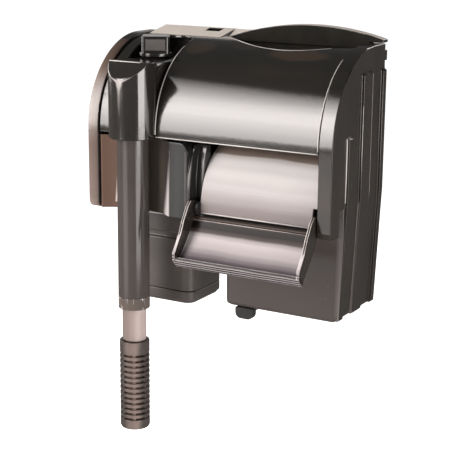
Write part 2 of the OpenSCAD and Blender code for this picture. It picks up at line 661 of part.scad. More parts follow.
filter_body();
front_frame();
spillway_apron();
frame_clips();
lid();
lid_catch();
spout_flap();
spout_pivot_pins();
intake_elbow();
elbow_seal();
flow_knob();
flow_knob_face();
flow_knob_seal();
flow_valve_plate();
upper_intake_tube();
tube_collar();
extension_tube();
strainer();
strainer_end_cap();
pump_housing();
pump_bottom_cap();
pump_cap_screws();
pump_gasket();
stator_core();
stator_coil();
impeller_cover();
impeller();
rotor_magnet();
ceramic_shaft();
shaft_bushes();
cable_gland();
front_cartridge_frame();
front_floss_pad();
rear_cartridge_frame();
rear_floss_pad();
media_basket();
bio_sponge();
levelling_bracket();
levelling_pad();
levelling_screw();
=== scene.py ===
import bpy, bmesh, math, json
from mathutils import Vector, Matrix, noise as mnoise
from mathutils.bvhtree import BVHTree


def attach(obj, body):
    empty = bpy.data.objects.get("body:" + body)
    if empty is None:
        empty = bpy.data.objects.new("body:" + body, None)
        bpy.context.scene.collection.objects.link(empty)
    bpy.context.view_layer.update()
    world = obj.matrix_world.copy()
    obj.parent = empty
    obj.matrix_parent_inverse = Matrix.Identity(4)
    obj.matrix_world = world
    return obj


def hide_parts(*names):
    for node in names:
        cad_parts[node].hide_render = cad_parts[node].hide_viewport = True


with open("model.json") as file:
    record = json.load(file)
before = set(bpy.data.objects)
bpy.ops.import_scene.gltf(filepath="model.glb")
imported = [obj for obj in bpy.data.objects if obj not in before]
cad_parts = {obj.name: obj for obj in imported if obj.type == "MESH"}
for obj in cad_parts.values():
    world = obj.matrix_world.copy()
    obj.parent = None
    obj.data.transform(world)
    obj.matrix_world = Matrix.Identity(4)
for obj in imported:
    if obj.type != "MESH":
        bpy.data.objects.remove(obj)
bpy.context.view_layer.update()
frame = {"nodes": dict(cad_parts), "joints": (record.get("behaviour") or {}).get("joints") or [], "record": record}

scene = bpy.context.scene
NODE = frame["nodes"]
JOINTS = {j["name"]: j for j in frame["joints"]}

# ------------------------------------------------------------------ camera
def make_camera():
    A, E, ROLL, F = math.radians(29.68), math.radians(13.828), math.radians(-0.489), 1261.1
    fw = Vector((-math.sin(A)*math.cos(E), math.cos(A)*math.cos(E), -math.sin(E)))
    r = Vector((math.cos(A), math.sin(A), 0.0))
    u = r.cross(fw)
    c, s = math.cos(ROLL), math.sin(ROLL)
    right, up = r*c - u*s, r*s + u*c
    cam = bpy.data.cameras.new("camera")
    cam.sensor_width = 36.0
    cam.lens = F/450.0*36.0
    cam.clip_start, cam.clip_end = 0.05, 60
    ob = bpy.data.objects.new("camera", cam)
    scene.collection.objects.link(ob)
    m = Matrix((right, up, -fw)).transposed().to_4x4()
    m.translation = Vector((0.42582, -0.73186, 0.18708))
    ob.matrix_world = m
    scene.camera = ob
    return ob
make_camera()
scene.view_settings.view_transform = 'Standard'
scene.view_settings.look = 'None'

# ------------------------------------------------------------------ materials
class Mat:
    """A Principled material with small helpers for procedural detail in object space (metres)."""
    def __init__(self, name, rough=0.2, ior=1.5, coat=0.0, metallic=0.0):
        self.m = bpy.data.materials.new(name)
        self.m.use_nodes = True
        self.t = self.m.node_tree
        self.b = self.t.nodes["Principled BSDF"]
        self.b.inputs["Roughness"].default_value = rough
        self.b.inputs["IOR"].default_value = ior
        self.b.inputs["Coat Weight"].default_value = coat
        self.b.inputs["Coat Roughness"].default_value = 0.04
        self.b.inputs["Metallic"].default_value = metallic
        self.co = self.t.nodes.new("ShaderNodeTexCoord")
        self.last_bump = None
    def link(self, a, b): self.t.links.new(a, b)
    def noise(self, scale, stretch=(1, 1, 1), detail=3.0, rough=0.5, rot=(0, 0, 0), offset=(0, 0, 0)):
        mp = self.t.nodes.new("ShaderNodeMapping")
        mp.inputs["Scale"].default_value = stretch
        mp.inputs["Rotation"].default_value = rot
        mp.inputs["Location"].default_value = offset
        self.link(self.co.outputs["Object"], mp.inputs["Vector"])
        n = self.t.nodes.new("ShaderNodeTexNoise")
        n.inputs["Scale"].default_value = scale
        n.inputs["Detail"].default_value = detail
        n.inputs["Roughness"].default_value = rough
        self.link(mp.outputs["Vector"], n.inputs["Vector"])
        return n.outputs["Fac"]
    def ramp(self, fac, stops, interp='EASE'):
        r = self.t.nodes.new("ShaderNodeValToRGB")
        r.color_ramp.interpolation = interp
        el = r.color_ramp.elements
        while len(el) > 1: el.remove(el[0])
        el[0].position, el[0].color = stops[0][0], tuple(stops[0][1]) + (1,)
        for p, c in stops[1:]:
            x = el.new(p); x.color = tuple(c) + (1,)
        self.link(fac, r.inputs["Fac"])
        return r.outputs["Color"]
    def rng(self, fac, a, b, c, d):
        r = self.t.nodes.new("ShaderNodeMapRange")
        for k, v in zip(("From Min", "From Max", "To Min", "To Max"), (a, b, c, d)):
            r.inputs[k].default_value = v
        self.link(fac, r.inputs["Value"])
        return r.outputs["Result"]
    def math(self, op, a, b=None):
        n = self.t.nodes.new("ShaderNodeMath"); n.operation = op
        for i, v in enumerate((a, b)):
            if v is None: continue
            if isinstance(v, (int, float)): n.inputs[i].default_value = v
            else: self.link(v, n.inputs[i])
        return n.outputs[0]
    def axis(self, k):
        s = self.t.nodes.new("ShaderNodeSeparateXYZ")
        self.link(self.co.outputs["Object"], s.inputs[0])
        return s.outputs[k]
    def mix(self, fac, a, b, mode='MIX'):
        n = self.t.nodes.new("ShaderNodeMix"); n.data_type = 'RGBA'; n.blend_type = mode
        if isinstance(fac, (int, float)): n.inputs["Factor"].default_value = fac
        else: self.link(fac, n.inputs["Factor"])
        for k, v in ((6, a), (7, b)):
            if isinstance(v, (tuple, list)): n.inputs[k].default_value = tuple(v) + (1,)
            else: self.link(v, n.inputs[k])
        return n.outputs[2]
    def color(self, out): self.link(out, self.b.inputs["Base Color"])
    def over(self, mask, colour):
        """Lay a colour over what is there, through a mask."""
        self.color(self.mix(mask, self.b.inputs["Base Color"].links[0].from_socket, colour))
    def blob(self, a, ca, ra, b, cb, rb, edge=0.35):
        """Soft oval mask in two object axes, metres."""
        u = self.math('POWER', self.math('ABSOLUTE', self.math('DIVIDE', self.math('SUBTRACT', self.axis(a), ca), ra)), 2.0)
        v = self.math('POWER', self.math('ABSOLUTE', self.math('DIVIDE', self.math('SUBTRACT', self.axis(b), cb), rb)), 2.0)
        n = self.rng(self.noise(60, (1, 1, 1), 3.0), 0.3, 0.7, -0.25, 0.25)
        return self.rng(self.math('ADD', self.math('ADD', u, v), n), 1.0-edge, 1.0+edge, 1.0, 0.0)
    def rough(self, out): self.link(out, self.b.inputs["Roughness"])
    def bump(self, height, dist, strength=0.5):
        n = self.t.nodes.new("ShaderNodeBump")
        n.inputs["Strength"].default_value = strength
        n.inputs["Distance"].default_value = dist
        self.link(height, n.inputs["Height"])
        if self.last_bump is not None: self.link(self.last_bump, n.inputs["Normal"])
        self.last_bump = n.outputs["Normal"]
        self.link(self.last_bump, self.b.inputs["Normal"])

def col(r, g, b): return (r, g, b)
def shade(c, k): return tuple(min(1.0, x*k) for x in c)

def gloss(name, base, rough=0.12, ior=1.75, wander=0.25, streak=(6, 60, 60), grain=0.5, wave=0.25, tint=None):
    """Polished moulded plastic: flow marks in the colour, handling haze in the gloss, a very faint orange peel."""
    m = Mat(name, rough, ior)
    big = m.noise(14, (1, 1, 1), 3.0)
    flow = m.noise(1.0, streak, 4.0, 0.6)
    f = m.math('ADD', m.math('MULTIPLY', big, 0.6), m.math('MULTIPLY', flow, 0.4))
    hi = tint if tint else shade(base, 1+wander)
    m.color(m.ramp(f, [(0.3, shade(base, 1-wander)), (0.5, base), (0.72, hi)]))
    haze = m.noise(1.0, (streak[0]*1.5, streak[1]*4, streak[2]*4), 5.0, 0.65)
    m.rough(m.rng(haze, 0.3, 0.75, max(0.02, rough*0.7), rough*1.45))
    m.bump(m.noise(240, (1, 1, 1), 2.0), 0.00006, grain)
    m.bump(m.noise(22, (1, 1, 1), 1.0), 0.0006, wave)
    return m

def satin(name, base, rough=0.45, ior=1.5, wander=0.2, pit=0.6):
    """Finely textured moulded plastic."""
    m = Mat(name, rough, ior)
    big = m.noise(25, (1, 1, 1), 4.0, 0.6)
    m.color(m.ramp(big, [(0.3, shade(base, 1-wander)), (0.52, base), (0.75, shade(base, 1+wander*1.5))]))
    m.rough(m.rng(m.noise(120, (1, 1, 1), 3.0), 0.3, 0.7, rough*0.85, rough*1.2))
    m.bump(m.noise(1500, (1, 1, 1), 2.0), 0.00008, pit)
    return m

M = {}
SMOKE = col(0.0165, 0.0145, 0.0115)
M["smoke_lid"] = gloss("smoke_lid", SMOKE, rough=0.13, ior=1.8, streak=(3, 90, 90), wave=0.10, wander=0.35, tint=(0.03, 0.021, 0.016))
m = M["smoke_lid"]
# painted reflection: brown patches laid on the hood by position
for cx, cy, rx, ry, c in ((0.050, 0.024, 0.021, 0.0065, (0.047, 0.030, 0.020)), (-0.027, 0.026, 0.011, 0.0085, (0.036, 0.026, 0.018)), (0.010, 0.030, 0.012, 0.004, (0.024, 0.019, 0.014))):
    m.over(m.blob(0, cx, rx, 1, cy, ry), c)
M["smoke_shell"] = gloss("smoke_shell", col(0.028, 0.0238, 0.0205), rough=0.2, ior=1.55, streak=(60, 60, 3))
m = M["smoke_shell"]
# painted highlight: a pale strip along the rear corner of the wide flute on the right side
rear = m.math('MULTIPLY', m.rng(m.axis(1), 0.0421, 0.0424, 0.0, 1.0), m.rng(m.axis(1), 0.0431, 0.0433, 1.0, 0.0))
tall = m.math('MULTIPLY', m.rng(m.axis(2), 0.0, 0.006, 0.0, 1.0), m.rng(m.axis(0), 0.0960, 0.0963, 0.0, 1.0))
m.over(m.math("MULTIPLY", rear, tall), (0.30, 0.275, 0.26))
M["smoke_column"] = gloss("smoke_column", col(0.023, 0.020, 0.018), rough=0.12, ior=1.8, streak=(60, 60, 4))
m = M["smoke_column"]
# painted highlight below the column's facet: a pale streak, fading downwards
half = m.ramp(m.rng(m.axis(2), 0.050, 0.086, 0.0, 1.0), [(0.0, (0.03, 0.03, 0.03)), (0.6, (0.075, 0.075, 0.075)), (0.74, (0.16, 0.16, 0.16)), (0.82, (0.45, 0.45, 0.45)), (1.0, (0.95, 0.95, 0.95))], 'LINEAR')
off = m.math('DIVIDE', m.math('ABSOLUTE', m.math('ADD', m.axis(0), 0.0568)), 0.0166)
near = m.rng(m.math('SUBTRACT', off, half), -0.05, 0.03, 1.0, 0.0)
fade = m.math('MULTIPLY', m.ramp(m.rng(m.axis(2), 0.050, 0.082, 0.0, 1.0), [(0.0, (0, 0, 0)), (0.5, (0.3, 0.3, 0.3)), (0.85, (0.9, 0.9, 0.9)), (1.0, (1, 1, 1))]), m.rng(m.axis(1), -0.026, -0.024, 1.0, 0.0))
plane = m.math('SUBTRACT', m.axis(2), m.math('ADD', m.math('MULTIPLY', m.math('ADD', m.axis(1), 0.0316), 0.9004), 0.079))
near = m.math('MULTIPLY', near, m.rng(plane, -0.0009, -0.0004, 1.0, 0.0))
m.over(m.math('MULTIPLY', near, fade), (0.42, 0.385, 0.37))
M["smoke_tube"] = gloss("smoke_tube", col(0.062, 0.053, 0.050), rough=0.15, ior=1.7, streak=(60, 60, 3))
M["knob_plastic"] = gloss("knob_plastic", col(0.016, 0.015, 0.014), rough=0.16, ior=1.6, streak=(40, 40, 40))
M["grey_plastic"] = satin("grey_plastic", col(0.11, 0.10, 0.095), rough=0.35)
M["black_plastic"] = satin("black_plastic", col(0.018, 0.018, 0.018), rough=0.35)
M["rubber_seal"] = satin("rubber_seal", col(0.02, 0.02, 0.02), rough=0.7, pit=0.8)
M["pump_plastic"] = satin("pump_plastic", col(0.066, 0.057, 0.052), rough=0.32, ior=1.55, pit=0.35)
M["strainer_plastic"] = satin("strainer_plastic", col(0.085, 0.067, 0.058), rough=0.33, ior=1.55, pit=0.3)
M["white_plastic"] = satin("white_plastic", col(0.72, 0.7, 0.64), rough=0.4)
M["blue_plastic"] = satin("blue_plastic", col(0.03, 0.1, 0.27), rough=0.35)

def position_tint(m, axis, lo, hi, stops, noise_amount=0.15):
    """Colour that follows a coordinate of the object, for tone that changes along a part and for painted highlights and
    shade laid along it.
    """
    f = m.rng(m.axis(axis), lo, hi, 0.0, 1.0)
    f = m.math('ADD', f, m.rng(m.noise(30, (1, 1, 1), 3.0), 0.3, 0.7, -noise_amount/2, noise_amount/2))
    return m.ramp(f, stops)

# in-tank panel: tinted plastic, its colour set band by band along x, browner and lighter towards the left end
m = gloss("smoke_brown", col(0.1, 0.08, 0.07), rough=0.16, ior=1.6, streak=(60, 60, 4))
base = position_tint(m, 0, -0.0865, -0.012, [(0.0, (0.16, 0.095, 0.068)), (0.15, (0.17, 0.105, 0.08)), (0.2, (0.05, 0.036, 0.03)), (0.46, (0.085, 0.07, 0.056)), (0.62, (0.06, 0.05, 0.041)), (0.77, (0.034, 0.029, 0.026)), (0.79, (0.016, 0.0155, 0.015)), (0.86, (0.024, 0.025, 0.0245)), (0.93, (0.015, 0.0155, 0.0155)), (1.0, (0.022, 0.021, 0.020))], 0.02)
zz, xx = m.axis(2), m.axis(0)
# painted highlights on the walls of the groove behind the tube: a pale wedge beside the step and a pale sliver at the
# left
left = m.math('ADD', xx, m.rng(zz, -0.014, 0.026, 0.0365, 0.0292))
wedge = m.math('MULTIPLY', m.rng(left, 0.0, 0.0042, 0.0, 1.0), m.rng(xx, -0.0292, -0.0289, 1.0, 0.0))
sl = m.math('ADD', xx, m.rng(zz, -0.012, 0.034, 0.0775, 0.0742))
sliver = m.math('MULTIPLY', m.math('MULTIPLY', m.rng(sl, 0.0, 0.001, 0.0, 1.0), m.rng(xx, -0.0745, -0.0735, 1.0, 0.0)), m.rng(zz, -0.0128, -0.012, 0.0, 1.0))
wedge_lit = m.mix(wedge, base, (0.55, 0.51, 0.50))
m.color(m.mix(sliver, wedge_lit, (0.78, 0.70, 0.64)))
M["smoke_brown"] = m
# apron: painted light along its height: a bright band below the top for the lamp's reflection, a brown band at the top
# for the hood's shade, darker towards the bottom
m = gloss("apron_gloss", col(0.42, 0.39, 0.375), rough=0.22, ior=1.6, streak=(3, 80, 80), wander=0.12)
m.color(position_tint(m, 2, -0.0125, 0.034, [(0.0, (0.24, 0.205, 0.20)), (0.12, (0.25, 0.215, 0.21)), (0.24, (0.28, 0.245, 0.24)), (0.46, (0.40, 0.37, 0.36)), (0.68, (0.66, 0.63, 0.615)), (0.80, (0.86, 0.82, 0.80)), (0.845, (0.84, 0.78, 0.75)), (0.87, (0.36, 0.28, 0.235)), (0.94, (0.31, 0.24, 0.20)), (1.0, (0.45, 0.37, 0.33))], 0.02))
m.b.inputs["Specular IOR Level"].default_value = 0.25
M["apron_gloss"] = m
# spout: painted light along its height: painted shade in dark olive at its hinge, a pale painted reflection in the
# middle, cool grey towards the lip
m = gloss("spout_gloss", col(0.2, 0.18, 0.18), rough=0.18, ior=1.6, streak=(3, 80, 80), wander=0.12)
m.color(position_tint(m, 2, -0.0465, -0.0125, [(0.0, (0.26, 0.23, 0.23)), (0.06, (0.11, 0.095, 0.098)), (0.11, (0.05, 0.038, 0.043)), (0.17, (0.09, 0.07, 0.08)), (0.235, (0.14, 0.117, 0.13)), (0.30, (0.27, 0.235, 0.25)), (0.365, (0.42, 0.375, 0.385)), (0.44, (0.57, 0.515, 0.52)), (0.58, (0.63, 0.575, 0.575)), (0.64, (0.47, 0.42, 0.42)), (0.70, (0.08, 0.062, 0.057)), (0.78, (0.014, 0.010, 0.0085)), (0.86, (0.010, 0.007, 0.006)), (0.89, (0.05, 0.034, 0.027)), (1.0, (0.05, 0.036, 0.03))], 0.025))
m.b.inputs["Specular IOR Level"].default_value = 0.1
M["spout_gloss"] = m

def clear(name, base, rough, trans):
    m = Mat(name, rough, 1.5)
    m.b.inputs["Transmission Weight"].default_value = trans
    f = m.noise(40, (1, 1, 0.3), 3.0)
    m.color(m.ramp(f, [(0.3, shade(base, 0.82)), (0.5, base), (0.7, shade(base, 1.12))]))
    m.rough(m.rng(m.noise(90), 0.3, 0.7, rough*0.7, rough*1.4))
    m.bump(m.noise(200), 0.00005, 0.4)
    return m
M["clear_tube"] = clear("clear_tube", col(0.34, 0.27, 0.245), 0.16, 0.2)
m = M["clear_tube"]
# painted light: the tube is darker at its left edge and brightest towards its right side, as light comes through the
# clear wall
m.color(position_tint(m, 0, -0.0653, -0.0483, [(0.0, (0.165, 0.135, 0.12)), (0.28, (0.24, 0.195, 0.175)), (0.5, (0.27, 0.215, 0.19)), (0.7, (0.36, 0.285, 0.26)), (0.93, (0.54, 0.45, 0.42)), (1.0, (0.50, 0.41, 0.38))], 0.06))
m = clear("clear_collar", col(0.13, 0.105, 0.092), 0.12, 0.2)
# painted glints: pale flecks scattered over the collar
m.over(m.rng(m.noise(1.0, (420, 420, 90), 3.0, 0.6), 0.6, 0.68, 0.0, 1.0), (0.8, 0.77, 0.74))
M["clear_collar"] = m
# painted highlight: the strainer is darkest at its left, palest right of its centre and darker again at its right edge
m = M["strainer_plastic"]
m.color(position_tint(m, 0, -0.0675, -0.0461, [(0.0, (0.035, 0.027, 0.023)), (0.35, (0.055, 0.044, 0.038)), (0.62, (0.15, 0.112, 0.097)), (0.85, (0.20, 0.15, 0.13)), (1.0, (0.06, 0.048, 0.042))], 0.15))
# painted highlight: paler finish for the strainer's rounded edges
M["strainer_edge"] = gloss("strainer_edge", col(0.20, 0.155, 0.13), rough=0.25, ior=1.5, streak=(40, 40, 40))
M["mesh_sleeve"] = satin("mesh_sleeve", col(0.15, 0.105, 0.08), rough=0.7, pit=0.9)

def metal(name, base, rough, streak=(1, 1, 1)):
    m = Mat(name, rough, 1.5, metallic=1.0)
    f = m.noise(60, streak, 4.0)
    m.color(m.ramp(f, [(0.3, shade(base, 0.85)), (0.55, base), (0.8, shade(base, 1.1))]))
    m.rough(m.rng(m.noise(300, streak), 0.3, 0.7, rough*0.7, rough*1.4))
    m.bump(m.noise(700, streak), 0.00003, 0.5)
    return m
M["steel"] = metal("steel", col(0.58, 0.58, 0.6), 0.25, (1, 8, 1))
M["core_steel"] = metal("core_steel", col(0.33, 0.33, 0.35), 0.35, (1, 1, 30))
M["copper"] = metal("copper", col(0.55, 0.24, 0.1), 0.28, (30, 1, 1))
M["magnet"] = satin("magnet", col(0.05, 0.05, 0.055), rough=0.4)
M["ceramic"] = satin("ceramic", col(0.8, 0.79, 0.76), rough=0.15, pit=0.2)

def fluffy(name, base, fibre=1400, height=0.0004):
    m = Mat(name, 0.95, 1.4)
    a = m.noise(fibre, (1, 0.35, 1), 4.0, 0.7)
    b = m.noise(fibre, (0.3, 1, 1), 4.0, 0.7, rot=(0, 0, 0.8))
    f = m.math('ADD', m.math('MULTIPLY', a, 0.5), m.math('MULTIPLY', b, 0.5))
    m.color(m.ramp(f, [(0.35, shade(base, 0.6)), (0.5, base), (0.65, shade(base, 1.15))]))
    m.b.inputs["Sheen Weight"].default_value = 0.3
    m.bump(f, height, 0.9)
    return m
M["floss"] = fluffy("floss", col(0.78, 0.78, 0.75))
M["carbon_pad"] = fluffy("carbon_pad", col(0.05, 0.05, 0.052))
m = Mat("sponge", 0.95, 1.4)
vo = m.t.nodes.new("ShaderNodeTexVoronoi"); vo.inputs["Scale"].default_value = 620
m.link(m.co.outputs["Object"], vo.inputs["Vector"])
m.color(m.ramp(vo.outputs["Distance"], [(0.1, (0.012, 0.018, 0.03)), (0.35, (0.03, 0.05, 0.085)), (0.7, (0.06, 0.1, 0.16))]))
m.bump(vo.outputs["Distance"], 0.0009, 1.0)
M["sponge"] = m

# fine-textured grip surface inside the finger scoop
m = satin("grip_texture", col(0.018, 0.0165, 0.0125), rough=0.6, ior=1.4, pit=0.8)
m.b.inputs["Specular IOR Level"].default_value = 0.12
M["grip_texture"] = m
# left end frame: tinted wall with painted light in its colour: a pale band along its height where the lamp's reflection
# falls, the glow of light coming through the wall towards its outer side, darker towards the top
m = gloss("smoke_thin_and_painted_light", col(0.2, 0.16, 0.14), rough=0.2, ior=1.55, streak=(60, 60, 3))
tall = position_tint(m, 2, -0.0167, 0.10, [(0.0, (0.27, 0.22, 0.195)), (0.07, (0.18, 0.13, 0.11)), (0.40, (0.155, 0.108, 0.088)), (0.47, (0.2, 0.16, 0.14)), (0.52, (0.33, 0.29, 0.27)), (0.67, (0.32, 0.28, 0.26)), (0.8, (0.2, 0.145, 0.115)), (0.95, (0.12, 0.085, 0.065)), (1.0, (0.05, 0.042, 0.036))], 0.06)
m.color(m.mix(1.0, tall, m.ramp(m.rng(m.axis(0), -0.095, -0.0865, 0.0, 1.0), [(0.0, (1.0, 1.0, 1.0)), (0.55, (0.78, 0.76, 0.75)), (0.85, (0.6, 0.56, 0.54)), (1.0, (0.12, 0.1, 0.09))]), 'MULTIPLY'))
M["smoke_thin_and_painted_light"] = m

# finishes for rounded edges and beads: painted highlights where edges catch the lamps, bright, mid and dim
M["edge_highlight_bright"] = gloss("edge_highlight_bright", col(0.72, 0.68, 0.65), rough=0.2, ior=1.55, streak=(40, 40, 40))
# painted reflection: the pale band along the top of the lid, where the smoke plastic reflects the bright background at
# a grazing angle
m = gloss("top_painted_reflection", col(0.86, 0.79, 0.71), rough=0.42, ior=1.4, streak=(4, 60, 60), wander=0.12)
m.b.inputs["Specular IOR Level"].default_value = 0.15
M["top_painted_reflection"] = m
M["edge_highlight_mid"] = gloss("edge_highlight_mid", col(0.20, 0.185, 0.175), rough=0.2, ior=1.55, streak=(40, 40, 40))
M["edge_highlight_dim"] = gloss("edge_highlight_dim", col(0.09, 0.083, 0.078), rough=0.2, ior=1.55, streak=(40, 40, 40))
m = gloss("shell_front", col(0.062, 0.053, 0.049), rough=0.24, ior=1.5, streak=(60, 60, 5), wander=0.12)
m.color(position_tint(m, 2, -0.085, 0.0, [(0.0, (0.062, 0.052, 0.047)), (0.6, (0.058, 0.048, 0.044)), (1.0, (0.082, 0.069, 0.064))], 0.12))
# painted highlight: a soft pale band down the box's front-right corner
m.over(m.rng(m.axis(0), 0.0895, 0.0925, 0.0, 0.55), (0.2, 0.18, 0.175))
m.rough(m.rng(m.noise(60), 0.3, 0.7, 0.23, 0.28))
M["shell_front"] = m
# spout lip: fine ribs along it, bumped, with a painted highlight on each rib and painted shade between them
m = gloss("lip_ribbed", col(0.2, 0.18, 0.18), rough=0.25, ior=1.5, streak=(3, 80, 80))
ribs = m.math('SINE', m.math('MULTIPLY', m.math('ADD', m.axis(2), m.rng(m.noise(60, (1, 1, 1), 2.0), 0.3, 0.7, -0.0002, 0.0002)), 3300.0))
m.color(m.mix(m.rng(ribs, -0.6, 0.6, 0.0, 1.0), (0.018, 0.014, 0.014), (0.27, 0.243, 0.246)))
m.bump(ribs, 0.0003, 0.6)
M["lip_ribbed"] = m
# near-black finish for painted shade: the shadow line beside the hood and the shaded faces at the flutes' upper ends
# and in the lid's pocket
M["dark_line"] = satin("dark_line", col(0.004, 0.0035, 0.003), rough=0.6, ior=1.2)

SLOT = {s["node"]: s["material_slot"] for s in frame["record"]["subparts"]}
def paint(ob, slot):
    ob.data.materials.clear()
    ob.data.materials.append(M[slot].m)

# ------------------------------------------------------------------ refined shells
def refined(node, width=0.0005, segs=3, angle=28, name=None, weld=2e-6, edges=None):
    """A finished copy of a CAD node: coplanar triangles merged, sharp edges rounded, smooth shading kept honest.
    edges(c), c in millimetres, names the finish of a rounded edge that carries a painted highlight, paler than the
    wall."""
    src = NODE[node]
    bm = bmesh.new()
    bm.from_mesh(src.data)
    for v in bm.verts: v.co = src.matrix_world @ v.co
    tree = BVHTree.FromBMesh(bm)
    bmesh.ops.remove_doubles(bm, verts=bm.verts, dist=weld)
    bmesh.ops.dissolve_degenerate(bm, dist=weld, edges=bm.edges)
    bmesh.ops.dissolve_limit(bm, angle_limit=math.radians(0.6), use_dissolve_boundaries=False, verts=bm.verts, edges=bm.edges)
    lim = math.radians(angle)
    sharp = [e for e in bm.edges if len(e.link_faces) == 2 and e.calc_face_angle(0) > lim]
    slots = [SLOT[node]]
    if width > 0:
        ret = bmesh.ops.bevel(bm, geom=sharp, offset=width, offset_type='OFFSET', segments=segs, profile=0.5, affect='EDGES', clamp_overlap=False, loop_slide=True, harden_normals=False)
        if edges:
            for f in ret["faces"]:
                e = edges(f.calc_center_median()*1000.0)
                if e:
                    if e not in slots: slots.append(e)
                    f.material_index = slots.index(e)
    bmesh.ops.triangulate(bm, faces=[f for f in bm.faces if len(f.verts) > 4], quad_method='BEAUTY', ngon_method='EAR_CLIP')
    for v in bm.verts:
        hit = tree.find_nearest(v.co)
        if hit[0] is not None and hit[3] > 0.45*width: v.co = hit[0]
    for f in bm.faces: f.smooth = True
    me = bpy.data.meshes.new((name or node) + "_finished")
    bm.to_mesh(me); bm.free()
    me.set_sharp_from_angle(angle=math.radians(40))
    ob = bpy.data.objects.new(name or (node + "_finished"), me)
    scene.collection.objects.link(ob)
    w = ob.modifiers.new("wn", 'WEIGHTED_NORMAL'); w.keep_sharp = True; w.weight = 60
    paint(ob, SLOT[node])
    for e in slots[1:]: me.materials.append(M[e].m)
    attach(ob, BODY[node])
    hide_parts(node)
    return ob

BODY = {}
for b, ns in frame["record"]["behaviour"]["bodies"].items():
    for n in ns: BODY[n] = b

FINISH = {"lid": 0.0006, "filter_body": 0.0005, "front_frame": 0.0005, "spillway_apron": 0.0004, "spout_flap": 0.0004,
          "intake_elbow": 0.0007, "flow_knob": 0.0005, "flow_knob_face": 0.0002, "upper_intake_tube": 0.0004, "tube_collar": 0.0003,
          "extension_tube": 0.0003, "strainer": 0.0003, "strainer_end_cap": 0.0003, "pump_housing": 0.0006, "pump_bottom_cap": 0.0006,
          "levelling_pad": 0.0006, "cable_gland": 0.0004, "impeller_cover": 0.0004, "media_basket": 0.0003,
          "front_cartridge_frame": 0.0003, "rear_cartridge_frame": 0.0003, "levelling_screw": 0.0002, "levelling_bracket": 0.0004}
# which rounded edges carry painted highlights, in millimetres
def lid_edges(c):
    if abs(math.hypot(c.x-35, c.y-96.2)-67.2) < 1.3 and c.z > 87.2 and c.y < 60: return "edge_highlight_bright"
    if c.z < 41 and c.y < -9: return "edge_highlight_bright"
    if abs(c.x+40.2) < 1.0 and c.y < 31 and c.z < 96: return "edge_highlight_bright"
    if c.x > 83.8 and c.y < 46 and c.z > 42: return "edge_highlight_bright" if c.z > 60 else "edge_highlight_dim"
    if c.y > 60.4 and c.z > 88: return "edge_highlight_mid"
def body_edges(c):
    if c.x > 95.3 and c.z < 89 and c.z > -80: return "edge_highlight_mid"
    if c.x > 93.9 and c.y < 60 and c.z > 95: return "edge_highlight_bright"
    if c.x > 94 and c.y < 20 and -14 < c.z < 30: return "edge_highlight_dim"
def frame_edges(c):
    if c.x < -13.2 and c.z > -16 and c.x > -29.5 and c.y < -8: return "edge_highlight_mid"
    if -13 < c.x and c.y < -3.0: return "edge_highlight_mid"
    if c.x < -28 and c.z < -13: return "edge_highlight_mid"
def flap_edges(c):
    if c.z < -36 and 0 < (c.x+11.5) and -9 < c.x < 82: return "edge_highlight_dim"
    if c.x < -9.0 or c.x > 81.6: return "edge_highlight_bright"
def elbow_edges(c):
    if c.y < 12 and c.z > 74: return "edge_highlight_bright"
    if c.z > 84: return "edge_highlight_dim"
def knob_edges(c): return "edge_highlight_dim" if c.z > 94 else None
def all_mid(c): return "edge_highlight_mid"
def pump_edges(c): return "edge_highlight_bright" if c.z > -22 and c.y < 18 else None
def apron_edges(c): return "edge_highlight_bright" if c.z < -11 else None
EDGES = {"lid": lid_edges, "filter_body": body_edges, "front_frame": frame_edges, "spout_flap": flap_edges, "intake_elbow": elbow_edges,
         "strainer": lambda c: "strainer_edge", "flow_knob": knob_edges, "flow_knob_face": all_mid, "pump_housing": pump_edges, "spillway_apron": apron_edges}
DONE = {}
for n, w in FINISH.items():
    if n in NODE: DONE[n] = refined(n, w, edges=EDGES.get(n))
for n, ob in NODE.items():
    if n not in DONE: paint(ob, SLOT[n])

def region(ob, slot, test):
    """A second finish on the faces whose centre and normal pass the test, all in metres."""
    ob.data.materials.append(M[slot].m)
    k = len(ob.data.materials)-1
    for f in ob.data.polygons:
        if test(f.center, f.normal): f.material_index = k
# the scoop's textured back wall and floor
region(DONE["lid"], "grip_texture", lambda c, n: c.x > -0.024 and c.y > 0.0285 and c.z > 0.0855 and c.y < 0.0618 and (n.y < -0.9 or (n.z > 0.9 and c.z < 0.088) or n.y > 0.6))
# the left end frame's front, with painted light: lighter where light comes through the wall and where the lamp reflects
region(DONE["filter_body"], "smoke_thin_and_painted_light", lambda c, n: c.x < -0.0862 and c.y < 0.03 and n.z < 0.93 and abs(n.x) < 0.7 and n.y < -0.1)
# the right end frame's rounded front is as polished as the lid
region(DONE["filter_body"], "smoke_lid", lambda c, n: c.x > 0.0848 and c.z > 0.004 and n.y < -0.05 and abs(n.x) < 0.6)
# the spout's ribbed lip
region(DONE["spout_flap"], "lip_ribbed", lambda c, n: n.y < -0.3 and c.z < -0.0372 and c.y < -0.0308 and abs(n.x) < 0.5)
# the spout's side cheeks are dark
region(DONE["spout_flap"], "smoke_shell", lambda c, n: abs(n.x) > 0.9)
# the media box's front wall
region(DONE["filter_body"], "shell_front", lambda c, n: c.z < 0.0 and 0.004 < c.y < 0.03 and n.y < -0.6 and c.x < 0.0945)
# painted shade on the upper ends of the flutes, which face up and would glare
region(DONE["filter_body"], "dark_line", lambda c, n: c.x > 0.0945 and 0.083 < c.z < 0.0905 and n.z > 0.4)
# painted reflection on the top of the lid behind the hood and on the grip's crest, a pale band
region(DONE["lid"], "top_painted_reflection", lambda c, n: n.z > 0.8 and c.z > 0.1018 and c.y > 0.0495 and not (-0.0461 < c.x < -0.0344 and c.z < 0.1032))
